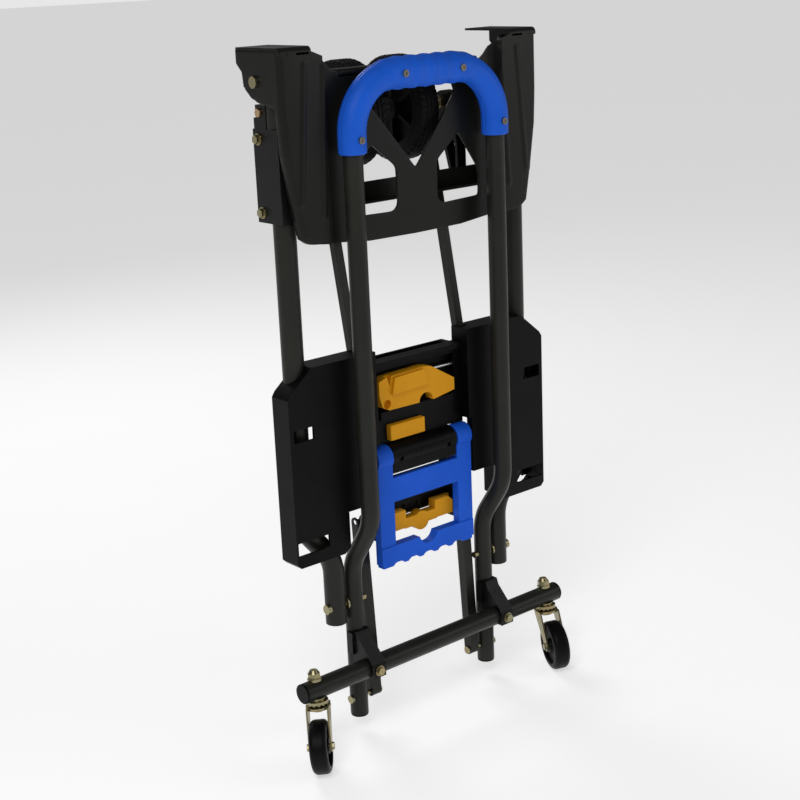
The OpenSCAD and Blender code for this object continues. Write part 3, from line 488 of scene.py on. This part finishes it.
def grip_radius(at):
    """Radius along the grip: rounded mouths, a swell over the straight top and shallow finger waves."""
    middle = grip_at[-1] / 2
    off = np.abs(at - middle)
    end = middle - off
    mouth = np.sqrt(np.clip(1 - (1 - np.clip(end / MOUTH_LONG, 0, 1)) ** 2, 0, 1))
    swell = 1 / (1 + np.exp((off - SWELL_HALF) / SWELL_EDGE))
    wave = 0.5 + 0.5 * np.cos(TAU * (at - middle) / WAVE_LONG)
    return MOUTH_R + MOUTH_SWELL * mouth + swell * (SWELL + WAVE * wave)


def grip_half(name, node, sign):
    """Half ring carried along the grip path, its two edges tucked in at the parting line."""
    t, n, b = frames_on(grip_path)
    front = np.array([0, sign, 0.0])
    across = np.cross(t, front)
    a = np.linspace(-np.pi / 2, np.pi / 2, 33)
    tuck = 1 - 0.035 * np.exp(-(((np.pi / 2 - np.abs(a)) / 0.05) ** 2))
    outer = grip_radius(grip_at)[:, None] * tuck
    inner = np.full((len(grip_at), 17), 0.0113)
    a2 = np.linspace(np.pi / 2, -np.pi / 2, 17)
    r = np.concatenate([outer, inner], 1)
    angle = np.r_[a, a2]
    ring = np.cos(angle)[None, :, None] * front + np.sin(angle)[None, :, None] * across[:, None]
    verts = MIDDLE + grip_path[:, None] + r[..., None] * ring
    rows, cols = r.shape
    faces = quads(rows, cols, False, True)
    faces += [list(range(cols)), list(range((rows - 1) * cols, rows * cols))]
    return new_piece(name, verts, faces, node)


grip_half("grip_front_shell", "grip_front", -1.0)
grip_half("grip_back_shell", "grip_back", 1.0)


# ---------- wheels ----------


def arc(r0, h0, radius, start, stop, count=7):
    """Points (radius, along) on a small arc of a profile, angles in degrees."""
    a = np.radians(np.linspace(start, stop, count))
    return [(r0 + radius * np.cos(k), h0 + radius * np.sin(k)) for k in a]


def wheel_of(label):
    """Solid rubber tyre with grooved, cross-cut tread, on a ribbed hub."""
    low_w, high_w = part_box("tyre_" + label)
    centre = (low_w + high_w) / 2
    r, w = (high_w.z - low_w.z) / 2 / MM, (high_w.x - low_w.x) / MM
    h = w / 2
    grooves = []
    for g in (-6, 0, 6):
        grooves += [(r, g - 1.3), (r - 1.1, g - 0.8), (r - 1.1, g + 0.8), (r, g + 1.3)]
    tread = arc(r - 4, -h + 4, 4, -90, 0) + grooves + arc(r - 4, h - 4, 4, 0, 90)
    wall_out = [(r - 10, h), (r - 11, h - 1.2), (r - 15, h - 1.2), (r - 16, h - 0.4)]
    wall_in = [(r - 16, -h + 0.4), (r - 15, -h + 1.2), (r - 11, -h + 1.2), (r - 10, -h)]
    profile = tread + wall_out + wall_in

    def cuts(a, rr, hh):
        bite = np.clip(np.sin(a * 46 + np.abs(hh) * 0.35) * 3 - 1.9, 0, 1)
        return -1.1 * bite * (rr > r - 3.2) * (np.abs(hh) > 6.8)

    turned("tyre_tread_" + label, profile, centre, (1, 0, 0), "tyre_" + label, around=368, ripple=cuts)
    eased("hub_" + label, 0.6)


wheel_of("left")
wheel_of("right")
spin = {j["name"]: j for j in frame["joints"]}


def caster_wheel(label):
    """Small wheel: crowned tread with soft shoulders, dished sides and a raised hub."""
    joint = spin["caster_spin_" + label]
    tread = [(31.75, h) for h in (-3, -1, 1, 3)]
    right = arc(25.75, 4.5, 6, 0, 90, 10) + [(25, 10.5)] + arc(24.2, 9.7, 0.8, 90, 180, 4)
    right += [(23.2, 6.4), (21.5, 6.0), (12.5, 6.0), (11, 6.3)]
    right += [(9.4, 7.5), (8.6, 9.8), (7.9, 10), (3.05, 10)]
    left = [(r, -h) for r, h in right[::-1]]
    turned("caster_roll_" + label, tread + right + left, joint["pos_m"], joint["axis"],
           "caster_wheel_" + label, around=128)


caster_wheel("left")
caster_wheel("right")

# ---------- pressed toe plate ----------

SHEET = 2.5
WEB_Y, WING_Y = -19.5, -30.5
FOLD_R = 6.0
EAR_BACK = WING_Y + 78
PLATE_TOP = (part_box("toe_plate")[1].z / MM) - 1.5


def smooth(t):
    """Smooth step of t from 0 to 1."""
    t = np.clip(t, 0, 1)
    return t * t * (3 - 2 * t)


def rounded_hull(x, z, points, soft):
    """Signed distance to a convex outline given anticlockwise; soft rounds its corners."""
    points = np.asarray(points, float)
    side = np.roll(points, -1, 0) - points
    out = np.stack([side[:, 1], -side[:, 0]], 1) / np.linalg.norm(side, axis=1)[:, None]
    d = x[..., None] * out[:, 0] + z[..., None] * out[:, 1] - (points * out).sum(1)
    high = d.max(-1, keepdims=True)
    return high[..., 0] + soft * np.log(np.exp((d - high) / soft).sum(-1)) - soft * 0.35


def wing_edge(z):
    """Half width of the plate at a height."""
    return np.interp(z, [604, 613, 622, 664, 714, 754], [150, 160, 172, 180, 188, 190])


def plate_front(x, z):
    """Depth of the front face: web, a soft step up to each wing, and two splayed beads on it."""
    a = np.abs(x)
    y = WEB_Y + (WING_Y - WEB_Y) * smooth((a - 124.3) / 8.5)
    wide = 3.4
    for top, foot in (((131.5, 804), (141, 645)), ((157, 806), (170, 660))):
        top, foot = np.array(top, float), np.array(foot, float)
        run = foot - top
        t = np.clip(((a - top[0]) * run[0] + (z - top[1]) * run[1]) / (run @ run), 0, 1)
        off = np.hypot(a - top[0] - t * run[0], z - top[1] - t * run[1])
        y = y - 1.5 * smooth(1 - off / wide / 1.5)
    sag = 1.6 * smooth((a - 128) / 20) * smooth((188 - a) / 20)
    return y - sag * 0.25


def trimmed(u, v, distance, place, step):
    """Grid faces where distance is negative, with the rim's points moved onto the outline."""
    e = 0.05
    d = distance(u, v)
    gu = (distance(u + e, v) - distance(u - e, v)) / (2 * e)
    gv = (distance(u, v + e) - distance(u, v - e)) / (2 * e)
    size = np.maximum(np.hypot(gu, gv), 1e-6)
    near = np.abs(d) < 0.72 * step * size
    u = np.where(near, u - d * gu / size**2, u)
    v = np.where(near, v - d * gv / size**2, v)
    keep = near | (d < 0)
    grid = np.arange(u.size).reshape(u.shape)
    corner = [grid[:-1, :-1], grid[1:, :-1], grid[1:, 1:], grid[:-1, 1:]]
    good = keep[:-1, :-1] & keep[1:, :-1] & keep[1:, 1:] & keep[:-1, 1:]
    faces = np.stack([c[good] for c in corner], -1)
    used, faces = np.unique(faces, return_inverse=True)
    return place(u, v).reshape(-1, 3)[used], faces.reshape(-1, 4)


def folded_face():
    """Front face and both ears as one sheet: across the outer folds the width turns into depth."""
    step = 2.0
    u, z = np.meshgrid(np.arange(-280, 281, step), np.arange(602, 830, step), indexing="ij")
    arc_len = FOLD_R * np.pi / 2

    def depth_of_ear(z):
        back = np.interp(z, [604, 640, 762, 765, 768, 773, 784, 800, 809, 826],
                         [-22, -19, -19, -8, 9, 23, 36, 38, 47.5, 47.5])
        return back - WING_Y - FOLD_R

    def place(u, z):
        a, edge = np.abs(u), wing_edge(z) - FOLD_R
        turn = np.clip((a - edge) / FOLD_R, 0, np.pi / 2)
        flat = np.minimum(a, edge)
        x = flat + FOLD_R * np.sin(turn)
        back = np.clip(a - edge - arc_len, 0, None)
        y = plate_front(flat, z) + FOLD_R * (1 - np.cos(turn)) + back
        return np.stack([np.sign(u) * x, y, z], -1)

    def distance(u, z):
        a = np.abs(u)
        top = np.interp(a, [104, 114, 128, 146, 150], [792, 799, 813, 820, 820])
        top = np.where(a > wing_edge(z) - 1, PLATE_TOP - 2.6, top)
        low = np.interp(a, [0, 70, 128, 150, 190], [604, 605, 611, 614, 618])
        d = np.maximum(z - top, (low - z) * 0.98)
        d = np.maximum(d, a - (wing_edge(z) - FOLD_R + arc_len + depth_of_ear(z)))
        windows = ([(3, 680), (66, 760), (60, 776), (-60, 776), (-64, 760)],
                   [(-100, 636), (-32, 634), (-26, 640), (-27, 684), (-62, 712), (-100, 668)],
                   [(100, 636), (100, 668), (70, 712), (36, 684), (35, 640), (41, 634)])
        for window in windows:
            d = np.maximum(d, -rounded_hull(u, z, window, 1.6))
        return d

    return trimmed(u, z, distance, place, step)


def folded_top(x_low, x_high, start, top, back, radius, y0):
    """Flange over an edge: up from start, round a fold of this radius and straight back."""
    up = np.arange(start, top - radius, 1.5)
    a = np.linspace(0, np.pi / 2, 9)
    far = np.linspace(0, back - radius, 24)[1:]
    rise = np.r_[up, top - radius + radius * np.sin(a), np.full(len(far), top)]
    depth = np.r_[0 * up, radius * (1 - np.cos(a)), radius + far]
    x = np.linspace(x_low, x_high, max(8, int((x_high - x_low) / 3)))
    xx, zz = np.meshgrid(x, rise, indexing="ij")
    yy = depth[None, :] + y0(xx, np.minimum(zz, start))
    return np.stack([xx, yy, zz], -1).reshape(-1, 3), np.array(quads(len(x), len(rise), False, False))


def pressed_plate():
    """All patches in one mesh, given their sheet thickness inwards, with eased edges."""
    patches = [folded_face()]
    for side in (-1, 1):
        low_x, high_x = sorted((side * 147.0, side * (190 - 0.4)))
        deep = EAR_BACK - WING_Y
        patches.append(folded_top(low_x, high_x, 817.5, PLATE_TOP, deep, FOLD_R, plate_front))
    patches.append(folded_top(-104.0, 104.0, 790.0, 798.0, 17.0, 4.0, plate_front))
    count, verts, faces = 0, [], []
    for v, f in patches:
        verts.append(v)
        faces += (f + count).tolist()
        count += len(v)
    mesh = bpy.data.meshes.new("toe_plate_sheet")
    mesh.from_pydata((MIDDLE + np.concatenate(verts) * MM).tolist(), [], faces)
    mesh.validate()
    shape = bmesh.new()
    shape.from_mesh(mesh)
    bmesh.ops.dissolve_degenerate(shape, dist=0.00025, edges=shape.edges)
    facing = sum(f.normal.y * f.calc_area() for f in shape.faces if abs(f.normal.y) > 0.9)
    if facing > 0:
        bmesh.ops.reverse_faces(shape, faces=shape.faces)
    shape.to_mesh(mesh)
    shape.free()
    piece = bpy.data.objects.new("toe_plate_sheet", mesh)
    bpy.context.scene.collection.objects.link(piece)
    wall = piece.modifiers.new("wall", "SOLIDIFY")
    wall.thickness, wall.offset, wall.use_even_offset = SHEET * MM, -1, False
    ease = piece.modifiers.new("ease", "BEVEL")
    ease.width, ease.segments = 0.6 * MM, 2
    ease.limit_method, ease.angle_limit = "ANGLE", np.radians(60)
    return dress(piece, "toe_plate", sharp=50)


pressed_plate()

# ---------- parts with rounded edges ----------

EASE = {
    "casing": 1.1, "release_lever": 1.8, "upper_latch": 1.4, "lower_latch": 1.2,
    "latch_button": 1.2, "lever_barrel": 0.8, "lock_bar": 0.6, "side_bracket_left": 1.2,
    "side_bracket_right": 1.2, "cross_plate": 0.6, "axle_lug_left": 0.9, "axle_lug_right": 0.9,
    "brace_left": 0.7, "brace_right": 0.7, "strap_left": 0.5, "strap_right": 0.5, "frame_plugs": 0.7,
    "tail_plugs": 0.5, "crossbar": 0.3, "crossbar_caps": 1.0, "caster_arm_left": 1.0,
    "caster_arm_right": 1.0, "caster_fork_left": 0.5, "caster_fork_right": 0.5, "caster_nuts": 0.4,
    "axle_nuts": 0.4, "arm_bolts": 0.4, "side_bracket_bolts": 0.4, "casing_bolts": 0.35,
    "toe_pivot_bolts": 0.5, "lug_bolts": 0.4, "brace_bolts": 0.3, "grip_screws": 0.3,
    "pivot_pins": 0.4,
    "pivot_washers": 0.2, "tail_pins": 0.3, "caster_stem_left": 0.3, "caster_stem_right": 0.3,
    "caster_axle_left": 0.3, "caster_axle_right": 0.3, "axle": 0.4, "lever_pin": 0.3,
    "latch_pins": 0.3,
}
for node, width in EASE.items():
    eased(node, width)
for node, shape in nodes.items():
    shape.data.materials.clear()
    shape.data.materials.append(finish_of(node))


# ---------- studio ----------


def make_studio():
    """Pale floor with faint clouding, and a soft even world."""
    reach = 40.0
    mesh = bpy.data.meshes.new("floor")
    corners = [(-reach, -reach, 0), (reach, -reach, 0), (reach, reach, 0), (-reach, reach, 0)]
    mesh.from_pydata(corners, [], [(0, 1, 2, 3)])
    floor = bpy.data.objects.new("floor", mesh)
    floor.location.z = cad_low.z - 0.0002
    bpy.context.scene.collection.objects.link(floor)
    f = Finish("floor_paper", 0.85, specular=0.2)
    cloud = f.noise(3, 3)
    f.feed(Base_Color=f.mixed(cloud, (0.80, 0.80, 0.80), (0.84, 0.84, 0.84)))
    f.shader.inputs["Emission Color"].default_value = (1, 1, 1, 1)
    f.shader.inputs["Emission Strength"].default_value = 0.55
    mesh.materials.append(f.material)
    world = bpy.data.worlds.new("studio")
    world.use_nodes = True
    world.node_tree.nodes["Background"].inputs["Color"].default_value = (1, 1, 1, 1)
    tree = world.node_tree
    ray = tree.nodes.new("ShaderNodeLightPath")
    mix = tree.nodes.new("ShaderNodeMixShader")
    shown = tree.nodes.new("ShaderNodeBackground")
    shown.inputs["Strength"].default_value = 1.0
    tree.nodes["Background"].inputs["Strength"].default_value = 0.13
    tree.links.new(ray.outputs["Is Camera Ray"], mix.inputs[0])
    tree.links.new(tree.nodes["Background"].outputs[0], mix.inputs[1])
    tree.links.new(shown.outputs[0], mix.inputs[2])
    tree.links.new(mix.outputs[0], tree.nodes["World Output"].inputs[0])
    bpy.context.scene.world = world
    make_light("key", (-1.6, -1.2, 2.2), size=1.2, power=24)
    make_light("fill", (1.7, -1.8, 1.2), size=1.2, power=8)
    make_light("rim", (0.4, 2.0, 1.8), size=1.0, power=14)


make_studio()
bpy.context.scene.view_settings.view_transform = "Standard"
